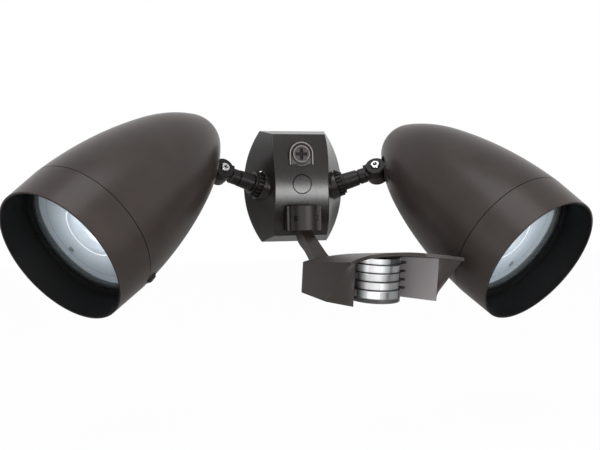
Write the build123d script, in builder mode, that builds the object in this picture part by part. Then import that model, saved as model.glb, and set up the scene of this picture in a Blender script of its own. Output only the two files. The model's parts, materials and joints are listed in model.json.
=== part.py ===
from build123d import *
from math import cos, pi, radians, sin, sqrt
import os

# Twin-lamp security light with a motion sensor, millimetres.
# Origin: on the wall, at the middle of the cover plate's back. +Z is up, the wall is the plane
# Y = 0, the front is -Y and +X is the viewer's right.

os.makedirs("parts", exist_ok=True)

# ---------------------------------------------------------------- driving dimensions

# cover plate
cover_height = 136.0
cover_middle_width = 124.0
cover_end_width = 82.0
face_width = 65.5
cover_depth = 48.0
face_crown = 12.5
end_bevel = 7.1
rim_thickness = 4.0
rim_land = 6.0
cover_wall = 3.0
cover_edge_radius = 1.0
gasket_thickness = 2.0
gasket_width = 7.0
gasket_setback = 0.8

# wall crossbar and the screw that holds the cover to it
crossbar_length = 104.0
crossbar_width = 20.0
crossbar_thickness = 1.6
box_screw_spacing = 88.9
slot_length = 14.0
slot_width = 5.0
ground_screw_height = 22.0
centre_screw_radius = 2.4
centre_screw_head_radius = 4.6
centre_screw_head_height = 3.0
centre_post_radius = 7.0
cap_radius = 11.0
cap_thickness = 3.0
cap_gap = 0.5

# closed half-inch hub near the top of the face
hub_height = 36.0
hub_floor_step = 2.4
hub_floor_depth = cover_depth - hub_floor_step
hub_lip_step = 0.6
hub_lip_depth = cover_depth - hub_lip_step
hub_outer_radius = 14.7
hub_lip_width = 1.8
hub_leg = 12.5
plug_radius = 10.4
plug_head_height = 2.6
plug_stub = 9.0
plug_ring_width = 1.5
plug_ring_depth = 1.2
cross_length = 14.0
cross_width = 4.0
cross_depth = 2.0

# lamp arms: the half-inch thread turns in the cover's side hubs
arm_yaw = 74.5
arm_rise = 17.0
arm_reach = 53.4
arm_seat = 1.5
seat_radius = 17.0
hub_inward = 12.0
thread_radius = 10.4
thread_inward = 16.0
nut_radius = 15.5
nut_thickness = 7.0
nut_notches = 20
nut_notch_width = 2.0
nut_notch_depth = 1.6
flange_radius = 13.6
flange_thickness = 2.4
cone_end_radius = 9.6
groove_place = 29.0
groove_width = 2.0
groove_radius = 8.2
neck_radius = 9.2

# knuckles
ear_radius = 12.35
ear_thickness = 11.0
ear_chamfer = 1.0
ear_root_height = 7.5
neck_gap = 1.0
tooth_count = 24
tooth_depth = 0.8
tooth_share = 0.8
tooth_inner_radius = 6.0
pivot_radius = 2.9
pivot_head_radius = 5.4
pivot_head_height = 2.6
pivot_nut_radius = 5.6
pivot_nut_thickness = 4.0
knuckle_ahead = 28.4
knuckle_offset = 47.4
pocket_gap = 0.8
pocket_mouth = 36.0

# lamps: a bullet-shaped body and a hood in front of it
band_radius = 79.9
mouth_taper = 2.4
mouth_radius = band_radius - mouth_taper
tail_length = 215.4
hood_length = 44.2
hood_wall = 2.4
body_wall = 3.0
parting_gap = 0.8
nose_radius = 36.9
nose_turn = 54.7
shoulder_turn = 18.7
spigot_length = 12.0
spigot_wall = 2.2
spigot_gap = 0.3
lip_inset = 10.4
lip_radius = band_radius - lip_inset
lip_thickness = 4.5
glass_inset = 8.4
glass_radius = band_radius - glass_inset
glass_thickness = 4.0
glass_depth = 45.5
seal_grip = 4.1
seal_inner_radius = glass_radius - seal_grip
seal_rim = 1.6
plate_inset = 1.5
plate_radius = glass_radius - plate_inset
plate_thickness = 1.5
plate_gap = 2.0
cup_mouth_radius = 27.0
cup_throat_radius = 12.0
cup_depth = 18.0
cup_knee = 0.5
cup_wall = 1.2
emitter_radius = 9.5
emitter_height = 1.5
board_radius = 34.0
board_thickness = 2.0
sink_radius = 60.0
sink_thickness = 5.0
sink_fin_count = 9
sink_fin_height = 22.0
sink_fin_thickness = 2.0
driver_length = 70.0
driver_width = 60.0
driver_height = 34.0
driver_gap = 1.0
hood_screw_angle = 12.0
hood_screw_back = 7.0
hood_boss_radius = 6.7
hood_boss_height = 0.9
hood_screw_radius = 5.0
hood_screw_height = 1.6
hood_screw_shank = 2.0
plate_screw_count = 4
plate_screw_circle = 52.0
plate_screw_radius = 2.0
plate_screw_head_radius = 3.2

# aim of each lamp in the resting pose: turn out from the plate's normal, tip below level
lamp_aim = {"left": (-1, 52.2, 33.7), "right": (1, 26.9, 35.8)}

# sensor socket under the face and its clamp screws
socket_axis_step = 6.5
socket_axis_depth = cover_depth + socket_axis_step
socket_foot = 13.0
socket_height = 28.5
socket_bottom = socket_foot - cover_height / 2
socket_top = socket_bottom + socket_height
socket_half_width = 20.5
barrel_radius = 17.5
post_radius = 8.45
counterbore_radius = 13.0
counterbore_depth = 4.5
collar_radius = 12.6
collar_thickness = 2.6
socket_roof = 5.5
clamp_screw_angle = 48.0
clamp_screw_radius = 2.6
clamp_recess_radius = 3.4
clamp_recess_depth = 2.0
clamp_shank_radius = 1.5
socket_screw_spread = 14.0
socket_screw_radius = 1.75
socket_screw_head_radius = 3.0
socket_screw_length = 13.0
socket_screw_rise = 9.0
socket_screw_height = socket_bottom + socket_screw_rise

# sensor arm: it leaves the socket downwards and sweeps out to the head
sensor_yaw = 15.0
sensor_reach = 146.5
sensor_drop = 108.0
sensor_pitch = 8.0
strap_root_width = 14.0
strap_width = 20.0
strap_taper_end = 40.0
strap_eye_half_width = 8.0
strap_inlet = 3.0
strap_top = ((0.0, socket_bottom + strap_inlet), (21.0, -71.0), (41.0, -87.0), (70.0, -95.5))
strap_bottom = ((-9.0, socket_bottom + strap_inlet), (10.0, -78.0), (36.0, -99.0), (68.0, -109.5))

# sensor head, in its own frame: X across, -Y forward, origin on the lens axis
head_half_width = 68.5
head_tip = 57.0
head_bottom_tip = 16.0
head_inner_corner = (51.0, 38.5)
head_rear = 40.5
head_rear_radius = 9.0
head_top_side = 20.5
head_top_crown = 7.5
head_top_slope = 9.2
head_bottom_side = -16.5
head_bottom_crown = 3.5
visor_thickness = 3.5
visor_middle = 33.0
head_side_wall = 3.0
lens_radius = 25.0
lens_wall = 1.6
lens_seat_gap = 0.4
lens_back = 12.0
cheek_foot = (22.5, 14.0)
hollow_front = 4.5
bar_count = 4
bar_pitch = 8.8
bar_height = 1.3
bar_reach = 1.8
case_gap = 0.15
tilt_behind = 10.0
tilt_height = -3.0
tilt_eye_radius = 8.0
tilt_ear_thickness = 5.0
tilt_screw_radius = 2.4
tilt_head_radius = 4.6
tilt_head_height = 2.4
dial_radius = 6.0
dial_height = 5.0
dial_spread = 36.0
dial_back = 12.0
dial_slot_width = 1.4
dial_slot_depth = 1.2
dial_pin_radius = 2.0
dial_pin_height = 1.8
dial_floor = -14.0
case_screw_spread = 45.5
case_screw_places = (-17.0, 28.0)
case_screw_radius = 1.75
case_screw_head_radius = 3.0
case_screw_head_height = 2.0
board_half = (36.0, 8.0)
sensor_board_thickness = 1.6
sensor_board_back = 30.0
detector_radius = 4.6
detector_height = 4.2
detector_board_half = (12.0, 12.0)
detector_board_back = 7.0

# clearances
body_gap = 0.3
running_gap = 0.05
screw_gap = 0.1


# ---------------------------------------------------------------- shared shapes

def save(piece, name):
    """Label a finished piece and write it as its own file."""
    piece.part.label = name
    export_step(piece.part, f"parts/{name}.step")


def turned(plane, corners):
    """Body turned about the plane's X axis, from an outline of (along, radius) corners."""
    with BuildPart() as body:
        with BuildSketch(plane):
            with BuildLine():
                Polyline(*corners, close=True)
            make_face()
        revolve(axis=Axis(plane.origin, plane.x_dir))
    return body.part


def rod(plane, radius, start, end):
    """Round rod on the plane's Z axis from start to end."""
    with BuildPart() as body:
        with BuildSketch(plane.offset(start)):
            Circle(radius)
        extrude(amount=end - start)
    return body.part


def aim(side, yaw, rise):
    """Unit vector that leaves the wall, turned yaw degrees to one side and tipped up by rise."""
    level = cos(radians(rise))
    return Vector(side * sin(radians(yaw)) * level, -cos(radians(yaw)) * level, sin(radians(rise)))


def cross_recess(plane, length, width, depth):
    """Cross-shaped pocket cut down from the plane."""
    with BuildPart() as pocket:
        with BuildSketch(plane):
            Rectangle(length, width)
            Rectangle(width, length)
        extrude(amount=-depth)
    return pocket.part


def pan_screw(plane, head_radius, head_height, shank_radius, shank_length):
    """Round-headed cross-recess screw: the plane lies under the head, the shank goes down."""
    with BuildPart() as screw:
        with BuildSketch(plane):
            Circle(head_radius)
        extrude(amount=head_height)
        chamfer(screw.edges().sort_by(Axis(plane.origin, plane.z_dir))[-1], head_height / 3)
        with BuildSketch(plane):
            Circle(shank_radius)
        extrude(amount=-shank_length)
        add(cross_recess(plane.offset(head_height), head_radius, head_radius / 3, head_height / 2),
            mode=Mode.SUBTRACT)
    return screw.part


# ---------------------------------------------------------------- cover plate

side_seats = {}
for side_name, side in (("left", -1), ("right", 1)):
    arm_axis = aim(side, arm_yaw, arm_rise)
    bevel_middle = Vector(side * (face_width + cover_middle_width) / 4,
                          -(rim_thickness + cover_depth) / 2, 0)
    side_seats[side_name] = (bevel_middle, arm_axis)


def bowed_outline(half_middle, half_end, half_height):
    """Outline with flat ends and bowed sides."""
    with BuildSketch() as outline:
        with BuildLine():
            Line((-half_end, half_height), (half_end, half_height))
            ThreePointArc((half_end, half_height), (half_middle, 0), (half_end, -half_height))
            Line((half_end, -half_height), (-half_end, -half_height))
            ThreePointArc((-half_end, -half_height), (-half_middle, 0), (-half_end, half_height))
        make_face()
    return outline.sketch


def crown_radius(half_length, sagitta):
    """Radius of an arc of given half chord and rise."""
    return (half_length ** 2 + sagitta ** 2) / (2 * sagitta)


face_half_height = cover_height / 2 - end_bevel
face_radius = crown_radius(face_half_height, face_crown)


def cover_form(inset):
    """Solid of the cover in front of its rim: bevelled sides that meet a crowned face."""
    half_end = cover_end_width / 2
    # the side bevels are ruled from the rim to an outline at full depth, placed so that
    # they meet the crowned face along straight edges
    reach = (cover_depth - rim_thickness) / (cover_depth - face_crown - rim_thickness)
    apex_end = half_end - (half_end - face_width / 2) * reach
    apex_height = cover_height / 2 - end_bevel * reach
    with BuildPart() as form:
        with BuildSketch(Plane.XZ.offset(rim_thickness)):
            add(bowed_outline(cover_middle_width / 2 - inset, half_end - inset, cover_height / 2 - inset))
        with BuildSketch(Plane.XZ.offset(cover_depth)):
            add(bowed_outline(face_width / 2 - inset, apex_end - inset, apex_height - inset))
        loft(ruled=True)
        with Locations(Location((0, face_radius - cover_depth + inset, 0), (0, 90, 0))):
            Cylinder(face_radius, 2 * cover_middle_width, mode=Mode.INTERSECT)
    return form.part


cover_solid = cover_form(0)
cavity_solid = cover_form(cover_wall)
hub_centre = Plane(origin=(0, 0, hub_height), x_dir=(1, 0, 0), z_dir=(0, -1, 0))

with BuildPart() as cover_plate:
    add(cover_solid)
    edge_depth = rim_thickness + cover_edge_radius
    front_edges = cover_plate.edges().filter_by(lambda edge: edge.center().Y < -edge_depth)
    fillet(front_edges, cover_edge_radius)
    with BuildSketch(Plane.XZ.offset(gasket_thickness)):
        add(bowed_outline(cover_middle_width / 2, cover_end_width / 2, cover_height / 2))
    extrude(amount=rim_thickness - gasket_thickness)
    # cavity, open at the back
    add(cavity_solid, mode=Mode.SUBTRACT)
    with BuildSketch(Plane.XZ.offset(gasket_thickness)):
        add(bowed_outline(cover_middle_width / 2 - rim_land, cover_end_width / 2 - rim_land,
                          cover_height / 2 - rim_land))
    extrude(amount=rim_thickness - gasket_thickness + cover_wall / 2, mode=Mode.SUBTRACT)
    # two screw holes behind the sensor socket
    with BuildSketch(Plane.XZ.offset(cover_depth)):
        with Locations((-socket_screw_spread, socket_screw_height),
                       (socket_screw_spread, socket_screw_height)):
            Circle(socket_screw_radius + screw_gap)
    extrude(amount=-cover_depth / 2, mode=Mode.SUBTRACT)
    # closed hub: a flat boss with a raised horseshoe lip, and its thread
    with BuildSketch(hub_centre.offset(hub_lip_depth)):
        Circle(hub_outer_radius)
        with Locations((0, -hub_leg / 2)):
            Rectangle(2 * hub_outer_radius, hub_leg)
    extrude(amount=-(hub_lip_depth - cover_depth + face_crown + cover_wall))
    with BuildSketch(hub_centre.offset(hub_floor_depth)):
        Circle(hub_outer_radius - hub_lip_width)
        with Locations((0, -hub_leg / 2)):
            Rectangle(2 * (hub_outer_radius - hub_lip_width), hub_leg + screw_gap)
    extrude(amount=cover_depth - hub_floor_depth, mode=Mode.SUBTRACT)
    with BuildSketch(hub_centre.offset(hub_floor_depth)):
        Circle(plug_radius + screw_gap)
    extrude(amount=-hub_inward, mode=Mode.SUBTRACT)
    # recess for the centre cap and the post that carries the fixing screw
    with BuildSketch(Plane.XZ.offset(gasket_thickness)):
        Circle(centre_post_radius)
    extrude(amount=cover_depth - cover_wall - gasket_thickness)
    with BuildSketch(Plane.XZ.offset(cover_depth)):
        Circle(cap_radius + cap_gap)
    extrude(amount=-cap_thickness, mode=Mode.SUBTRACT)
    with BuildSketch(Plane.XZ.offset(cover_depth - cap_thickness)):
        Circle(centre_screw_head_radius + screw_gap)
    extrude(amount=-centre_screw_head_height - screw_gap, mode=Mode.SUBTRACT)
    with BuildSketch(Plane.XZ):
        Circle(centre_screw_radius + screw_gap)
    extrude(amount=cover_depth, mode=Mode.SUBTRACT)
    # side hubs, square to the lamp arms, with flat seats for the lock nuts
    for bevel_middle, arm_axis in side_seats.values():
        seat = Plane(origin=bevel_middle + arm_axis * arm_seat, x_dir=arm_axis.cross(Vector(0, 0, 1)),
                     z_dir=arm_axis)
        add(rod(seat, seat_radius, -hub_inward - arm_seat, 0))
        add(rod(seat, seat_radius + cap_gap, 0, hub_inward), mode=Mode.SUBTRACT)
        add(rod(seat, thread_radius + running_gap, -2 * hub_inward, hub_inward), mode=Mode.SUBTRACT)
save(cover_plate, "cover_plate")


# ---------------------------------------------------------------- wall side

with BuildPart() as wall_gasket:
    gasket_outer = (cover_middle_width / 2 - gasket_setback, cover_end_width / 2 - gasket_setback,
                    cover_height / 2 - gasket_setback)
    with BuildSketch(Plane.XZ):
        add(bowed_outline(*gasket_outer))
        add(bowed_outline(*[size - gasket_width for size in gasket_outer]), mode=Mode.SUBTRACT)
    extrude(amount=gasket_thickness)
save(wall_gasket, "wall_gasket")

with BuildPart() as crossbar:
    with BuildSketch(Plane.XZ):
        RectangleRounded(crossbar_width, crossbar_length, crossbar_width / 4)
        with Locations((0, box_screw_spacing / 2), (0, -box_screw_spacing / 2)):
            SlotOverall(slot_length, slot_width, rotation=90, mode=Mode.SUBTRACT)
        Circle(centre_screw_radius + screw_gap, mode=Mode.SUBTRACT)
        with Locations((0, ground_screw_height)):
            Circle(centre_screw_radius + screw_gap, mode=Mode.SUBTRACT)
    extrude(amount=crossbar_thickness)
save(crossbar, "crossbar")

with BuildPart() as ground_screw:
    ground_seat = Plane(origin=(0, -crossbar_thickness, ground_screw_height), z_dir=(0, -1, 0))
    add(pan_screw(ground_seat, centre_screw_head_radius, centre_screw_head_height / 2,
                  centre_screw_radius, crossbar_thickness))
save(ground_screw, "ground_screw")

with BuildPart() as centre_screw:
    screw_seat = Plane.XZ.offset(cover_depth - cap_thickness - centre_screw_head_height - screw_gap)
    add(pan_screw(screw_seat, centre_screw_head_radius, centre_screw_head_height, centre_screw_radius,
                  cover_depth - cap_thickness - centre_screw_head_height))
save(centre_screw, "centre_screw")

with BuildPart() as centre_cap:
    with BuildSketch(Plane.XZ.offset(cover_depth - cap_thickness)):
        Circle(cap_radius)
    extrude(amount=2 * cap_thickness)
    add(cover_solid, mode=Mode.INTERSECT)
    chamfer(centre_cap.edges().sort_by(Axis.Y)[0], cap_gap / 2)
save(centre_cap, "centre_cap")

with BuildPart() as closure_plug:
    plug_seat = hub_centre.offset(hub_floor_depth)
    add(rod(plug_seat, plug_radius, -plug_stub, plug_head_height))
    chamfer(closure_plug.edges().sort_by(Axis.Y)[0], cap_gap)
    with BuildSketch(plug_seat.offset(plug_head_height)):
        Circle(plug_radius - plug_ring_width)
    extrude(amount=-plug_ring_depth, mode=Mode.SUBTRACT)
    add(cross_recess(plug_seat.offset(plug_head_height - plug_ring_depth), cross_length, cross_width,
                     cross_depth), mode=Mode.SUBTRACT)
save(closure_plug, "closure_plug")


# ---------------------------------------------------------------- lamp arms and knuckles

def serrate(plane, floor):
    """Ring of radial grooves cut into a face that lies on the plane, deepest at the floor."""
    groove_half = tooth_share * pi * ear_radius / tooth_count
    with BuildPart() as grooves:
        for turn in range(tooth_count):
            face = plane.rotated((0, 0, 360 * turn / tooth_count))
            across = Plane(origin=plane.origin + face.x_dir * tooth_inner_radius, x_dir=face.y_dir,
                           z_dir=face.x_dir)
            with BuildSketch(across):
                with BuildLine():
                    Polyline((-groove_half, body_gap), (groove_half, body_gap), (0, -floor), close=True)
                make_face()
            extrude(amount=ear_radius)
    return grooves.part


class Lamp:
    """Planes that place one lamp, its arm and its knuckle."""

    def __init__(self, name):
        side, yaw, dip = lamp_aim[name]
        self.name = name
        seat, self.arm_axis = side_seats[name]
        self.axis = aim(side, yaw, -dip)
        pivot = self.arm_axis.cross(self.axis).normalized()
        self.pivot = pivot if pivot.Y < 0 else pivot * -1
        outward = self.pivot.cross(self.axis)
        self.outward = outward if outward.dot(self.arm_axis) < 0 else outward * -1
        self.knuckle = seat + self.arm_axis * arm_reach
        self.tail = self.knuckle - self.axis * knuckle_ahead - self.outward * knuckle_offset
        self.arm_section = Plane(origin=seat, x_dir=self.arm_axis, z_dir=self.pivot)
        self.front_ear = Plane(origin=self.knuckle, x_dir=self.arm_axis, z_dir=self.pivot)
        self.back_ear = Plane(origin=self.knuckle, x_dir=self.outward, z_dir=self.pivot * -1)
        self.section = Plane(origin=self.tail, x_dir=self.axis, z_dir=self.axis.cross(self.outward))
        self.across = Plane(origin=self.tail, x_dir=self.outward, z_dir=self.axis)


def lock_nut(lamp):
    """Notched ring that locks the arm's thread against the cover."""
    seat = Plane(origin=lamp.arm_section.origin + lamp.arm_axis * arm_seat, x_dir=lamp.pivot,
                 z_dir=lamp.arm_axis)
    with BuildPart() as nut:
        add(rod(seat, nut_radius, 0, nut_thickness))
        chamfer(nut.edges().filter_by(GeomType.CIRCLE), cap_gap)
        with BuildSketch(seat):
            with PolarLocations(nut_radius, nut_notches):
                Rectangle(2 * nut_notch_depth, nut_notch_width)
        extrude(amount=nut_thickness, mode=Mode.SUBTRACT)
        add(rod(seat, thread_radius + running_gap, 0, nut_thickness), mode=Mode.SUBTRACT)
    return nut


def lamp_arm(lamp):
    """Threaded stub, flange, tapered tube and one toothed ear."""
    flange = arm_seat + nut_thickness + body_gap
    neck_end = arm_reach - ear_radius - neck_gap
    corners = [
        (-thread_inward, 0),
        (-thread_inward, thread_radius),
        (flange, thread_radius),
        (flange, flange_radius),
        (flange + flange_thickness, flange_radius),
        (flange + flange_thickness, thread_radius),
        (groove_place, cone_end_radius),
        (groove_place, groove_radius),
        (groove_place + groove_width, groove_radius),
        (groove_place + groove_width, neck_radius),
        (neck_end, neck_radius),
        (neck_end, 0),
    ]
    with BuildPart() as arm:
        add(turned(lamp.arm_section, corners))
        with BuildSketch(lamp.front_ear.offset(body_gap / 2)):
            Circle(ear_radius)
        extrude(amount=ear_thickness)
        with BuildSketch(lamp.front_ear.offset(body_gap / 2)):
            with Locations((-ear_radius / 2 - neck_gap, 0)):
                Rectangle(ear_radius + 2 * neck_gap, 2 * neck_radius)
        extrude(amount=ear_root_height)
        ear_top = arm.faces().sort_by(Axis(lamp.knuckle, lamp.pivot))[-1]
        chamfer(ear_top.edges().filter_by(GeomType.CIRCLE), ear_chamfer)
        add(rod(lamp.front_ear, pivot_radius + screw_gap, 0, 2 * ear_thickness), mode=Mode.SUBTRACT)
        add(serrate(lamp.front_ear.offset(body_gap / 2).rotated((180, 0, 0)), tooth_depth),
            mode=Mode.SUBTRACT)
    return arm


def pivot_screw(lamp):
    """Bright cross-recess screw through both ears."""
    with BuildPart() as screw:
        add(pan_screw(lamp.front_ear.offset(body_gap / 2 + ear_thickness), pivot_head_radius,
                      pivot_head_height, pivot_radius, 2 * ear_thickness))
    return screw


def pivot_nut(lamp):
    """Hexagon nut held in a pocket of the lamp's ear."""
    with BuildPart() as nut:
        with BuildSketch(lamp.back_ear.offset(body_gap / 2 + ear_thickness)):
            RegularPolygon(pivot_nut_radius, 6)
            Circle(pivot_radius + running_gap, mode=Mode.SUBTRACT)
        extrude(amount=-pivot_nut_thickness)
    return nut


# ---------------------------------------------------------------- lamps

def bullet(lamp, inset):
    """Solid of the lamp body: three arcs that run into each other, drawn in by inset."""
    shoulder = radians(90 - nose_turn)
    flank = radians(90 - nose_turn - shoulder_turn)
    # the two longer arcs end level with the axis, at the body's full length and radius
    along = tail_length - nose_radius * (1 - sin(shoulder))
    across = band_radius - nose_radius * cos(shoulder)
    run = sin(shoulder) - sin(flank)
    rise = cos(flank) - cos(shoulder)
    flank_radius = (along * rise - across * run) / (sin(flank) * rise - (1 - cos(flank)) * run)
    shoulder_radius = (across - flank_radius * (1 - cos(flank))) / rise
    with BuildPart() as body:
        with BuildSketch(lamp.section):
            with BuildLine():
                nose = JernArc((inset, 0), (0, 1), nose_radius - inset, -nose_turn)
                side = JernArc(nose @ 1, nose % 1, shoulder_radius - inset, -shoulder_turn)
                rear = JernArc(side @ 1, side % 1, flank_radius - inset, nose_turn + shoulder_turn - 90)
                Polyline(rear @ 1, (tail_length, 0), (inset, 0))
            make_face()
        revolve(axis=Axis(lamp.tail, lamp.axis))
    return body.part


def lamp_housing(lamp):
    """Cast body with one toothed ear and a pocket, open to the front, in which the arm's ear turns."""
    reach = ear_thickness + body_gap / 2
    with BuildPart() as cavity:
        add(bullet(lamp, body_wall))
        add(rod(lamp.front_ear, ear_radius + pocket_gap + body_wall, -reach, pocket_mouth + body_wall),
            mode=Mode.SUBTRACT)
    with BuildPart() as housing:
        add(bullet(lamp, 0))
        with BuildSketch(lamp.back_ear.offset(body_gap / 2)):
            Circle(ear_radius)
            with Locations((-ear_radius / 2, 0)):
                Rectangle(ear_radius, 2 * ear_radius)
        extrude(amount=ear_thickness)
        add(cavity.part, mode=Mode.SUBTRACT)
        add(rod(lamp.front_ear, ear_radius + pocket_gap, -body_gap / 2, pocket_mouth), mode=Mode.SUBTRACT)
        add(rod(lamp.back_ear, pivot_radius + running_gap, 0, 2 * ear_thickness), mode=Mode.SUBTRACT)
        with BuildSketch(lamp.back_ear.offset(reach)):
            RegularPolygon(pivot_nut_radius + screw_gap, 6)
        extrude(amount=-pivot_nut_thickness, mode=Mode.SUBTRACT)
        add(serrate(lamp.back_ear.offset(body_gap / 2).rotated((180, 0, 0)), tooth_depth),
            mode=Mode.SUBTRACT)
        add(rod(hood_screw_plane(lamp), hood_boss_radius, -body_wall, hood_boss_height))
        add(rod(hood_screw_plane(lamp), hood_screw_shank + screw_gap, -2 * body_wall, body_wall),
            mode=Mode.SUBTRACT)
    return housing


def hood_screw_plane(lamp):
    """Plane on the body's skin, just behind the parting line, facing out."""
    turn = radians(hood_screw_angle)
    out = lamp.outward * cos(turn) + lamp.pivot * sin(turn)
    place = lamp.tail + lamp.axis * (tail_length - hood_screw_back) + out * band_radius
    return Plane(origin=place, x_dir=lamp.axis, z_dir=out)


def hood(lamp):
    """Front tube: a spigot slips into the body and an inner lip holds the glass."""
    back = tail_length + parting_gap
    mouth = tail_length + hood_length
    glass_front = mouth - glass_depth + glass_thickness
    lip_back = glass_front + seal_rim
    spigot_radius = band_radius - body_wall - spigot_gap
    corners = [
        (back, band_radius),
        (mouth, mouth_radius),
        (mouth, mouth_radius - hood_wall),
        (lip_back + lip_thickness, band_radius - 2 * hood_wall),
        (lip_back + lip_thickness, lip_radius),
        (lip_back, lip_radius),
        (lip_back, spigot_radius - spigot_wall),
        (tail_length - spigot_length, spigot_radius - spigot_wall),
        (tail_length - spigot_length, spigot_radius),
        (back, spigot_radius),
    ]
    with BuildPart() as tube:
        add(turned(lamp.section, corners))
        add(rod(hood_screw_plane(lamp), hood_screw_shank, -4 * body_wall, 0), mode=Mode.SUBTRACT)
    return tube


def optics(lamp):
    """Glass, its seal, the bright plate with its cup, and the light source behind them."""
    mouth = tail_length + hood_length
    glass_front = mouth - glass_depth + glass_thickness
    glass_back = glass_front - glass_thickness
    seal_radius = band_radius - body_wall - spigot_gap - spigot_wall
    pieces = {}
    pieces["glass"] = turned(lamp.section, [
        (glass_back, 0), (glass_back, glass_radius), (glass_front, glass_radius), (glass_front, 0)])
    pieces["glass_seal"] = turned(lamp.section, [
        (glass_front + seal_rim, seal_inner_radius), (glass_front + seal_rim, seal_radius),
        (glass_back - seal_rim, seal_radius), (glass_back - seal_rim, seal_inner_radius),
        (glass_back, seal_inner_radius), (glass_back, glass_radius),
        (glass_front, glass_radius), (glass_front, seal_inner_radius)])
    plate_front = glass_back - plate_gap
    plate_back = plate_front - plate_thickness
    cup_back = plate_front - cup_depth
    with BuildPart() as plate:
        with BuildSketch(lamp.across.offset(plate_back)):
            Circle(plate_radius)
            Circle(cup_mouth_radius + cup_wall + screw_gap, mode=Mode.SUBTRACT)
            with PolarLocations(plate_screw_circle, plate_screw_count):
                Circle(plate_screw_radius + screw_gap, mode=Mode.SUBTRACT)
        extrude(amount=plate_thickness)
    pieces["bright_plate"] = plate.part
    knee = plate_front - cup_depth * cup_knee
    knee_radius = cup_mouth_radius - (cup_mouth_radius - cup_throat_radius) * cup_knee ** 2
    pieces["reflector_cup"] = turned(lamp.section, [
        (plate_front, cup_mouth_radius), (knee, knee_radius), (cup_back, cup_throat_radius),
        (cup_back, cup_throat_radius + cup_wall), (knee, knee_radius + cup_wall),
        (plate_front, cup_mouth_radius + cup_wall)])
    board_front = cup_back - screw_gap
    pieces["led_board"] = rod(lamp.across, board_radius, board_front - board_thickness, board_front)
    pieces["led_emitter"] = rod(lamp.across, emitter_radius, board_front, board_front + emitter_height)
    sink_front = board_front - board_thickness
    with BuildPart() as sink:
        add(rod(lamp.across, sink_radius, sink_front - sink_thickness, sink_front))
        fin_span = 2 * board_radius
        with BuildSketch(lamp.across.offset(sink_front - sink_thickness)):
            with GridLocations(fin_span / (sink_fin_count - 1), 0, sink_fin_count, 1):
                Rectangle(sink_fin_thickness, fin_span)
        extrude(amount=-sink_fin_height)
    pieces["heat_sink"] = sink.part
    with BuildPart() as driver:
        driver_front = sink_front - sink_thickness - sink_fin_height - driver_gap
        with BuildSketch(lamp.across.offset(driver_front)):
            RectangleRounded(driver_width, driver_height, driver_height / 10)
        extrude(amount=-driver_length)
    pieces["led_driver"] = driver.part
    with BuildPart() as plate_screws:
        with BuildSketch(lamp.across.offset(plate_front)):
            with PolarLocations(plate_screw_circle, plate_screw_count):
                Circle(plate_screw_head_radius)
        extrude(amount=plate_gap / 2)
        with BuildSketch(lamp.across.offset(plate_front)):
            with PolarLocations(plate_screw_circle, plate_screw_count):
                Circle(plate_screw_radius)
        extrude(amount=sink_front - plate_front)
    pieces["plate_screws"] = plate_screws.part
    return pieces


for side_name in lamp_aim:
    lamp = Lamp(side_name)
    save(lock_nut(lamp), f"{side_name}_lock_nut")
    save(lamp_arm(lamp), f"{side_name}_arm")
    save(pivot_screw(lamp), f"{side_name}_pivot_screw")
    save(pivot_nut(lamp), f"{side_name}_pivot_nut")
    save(lamp_housing(lamp), f"{side_name}_lamp_housing")
    save(hood(lamp), f"{side_name}_hood")
    with BuildPart() as hood_screw:
        add(pan_screw(hood_screw_plane(lamp).offset(hood_boss_height), hood_screw_radius, hood_screw_height,
                      hood_screw_shank, hood_boss_height + body_wall + spigot_wall))
    save(hood_screw, f"{side_name}_hood_screw")
    for piece_name, piece in optics(lamp).items():
        with BuildPart() as optic:
            add(piece)
        save(optic, f"{side_name}_{piece_name}")


# ---------------------------------------------------------------- sensor socket

swivel = Plane(origin=(0, -socket_axis_depth, 0))


def face_depth(height):
    """How far the crowned face stands from the wall at a height."""
    return cover_depth - (face_radius - sqrt(face_radius ** 2 - height ** 2))


def clamp_plane(side):
    """Plane on the barrel's skin at one clamp screw, facing out."""
    turn = radians(side * clamp_screw_angle)
    out = Vector(sin(turn), -cos(turn), 0)
    place = swivel.origin + out * barrel_radius + Vector(0, 0, (socket_top + socket_bottom) / 2)
    return Plane(origin=place, z_dir=out)


with BuildPart() as sensor_socket:
    block_back = cover_depth / 2
    with BuildSketch(Plane.XY.offset(socket_bottom)):
        with Locations((0, -socket_axis_depth)):
            Circle(barrel_radius)
        with Locations((0, -(socket_axis_depth + block_back) / 2)):
            Rectangle(2 * socket_half_width, socket_axis_depth - block_back)
    extrude(amount=socket_top - socket_bottom)
    add(cover_solid, mode=Mode.SUBTRACT)
    add(rod(swivel, post_radius + running_gap, socket_bottom, socket_top - socket_roof), mode=Mode.SUBTRACT)
    add(rod(swivel, counterbore_radius, socket_bottom, socket_bottom + counterbore_depth),
        mode=Mode.SUBTRACT)
    for side in (-1, 1):
        add(rod(clamp_plane(side), clamp_recess_radius, -clamp_recess_depth, barrel_radius), mode=Mode.SUBTRACT)
        add(rod(clamp_plane(side), clamp_shank_radius + screw_gap, -barrel_radius, 0), mode=Mode.SUBTRACT)
    with BuildSketch(Plane.XZ.offset(block_back)):
        with Locations((-socket_screw_spread, socket_screw_height),
                       (socket_screw_spread, socket_screw_height)):
            Circle(socket_screw_radius + screw_gap)
    extrude(amount=face_depth(socket_screw_height) - block_back + socket_screw_length - cover_wall,
            mode=Mode.SUBTRACT)
save(sensor_socket, "sensor_socket")

with BuildPart() as clamp_screws:
    shank = barrel_radius - clamp_recess_depth - post_radius - body_gap
    for side in (-1, 1):
        add(pan_screw(clamp_plane(side).offset(-clamp_recess_depth), clamp_screw_radius,
                      clamp_recess_depth - body_gap, clamp_shank_radius, shank))
save(clamp_screws, "clamp_screws")

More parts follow.
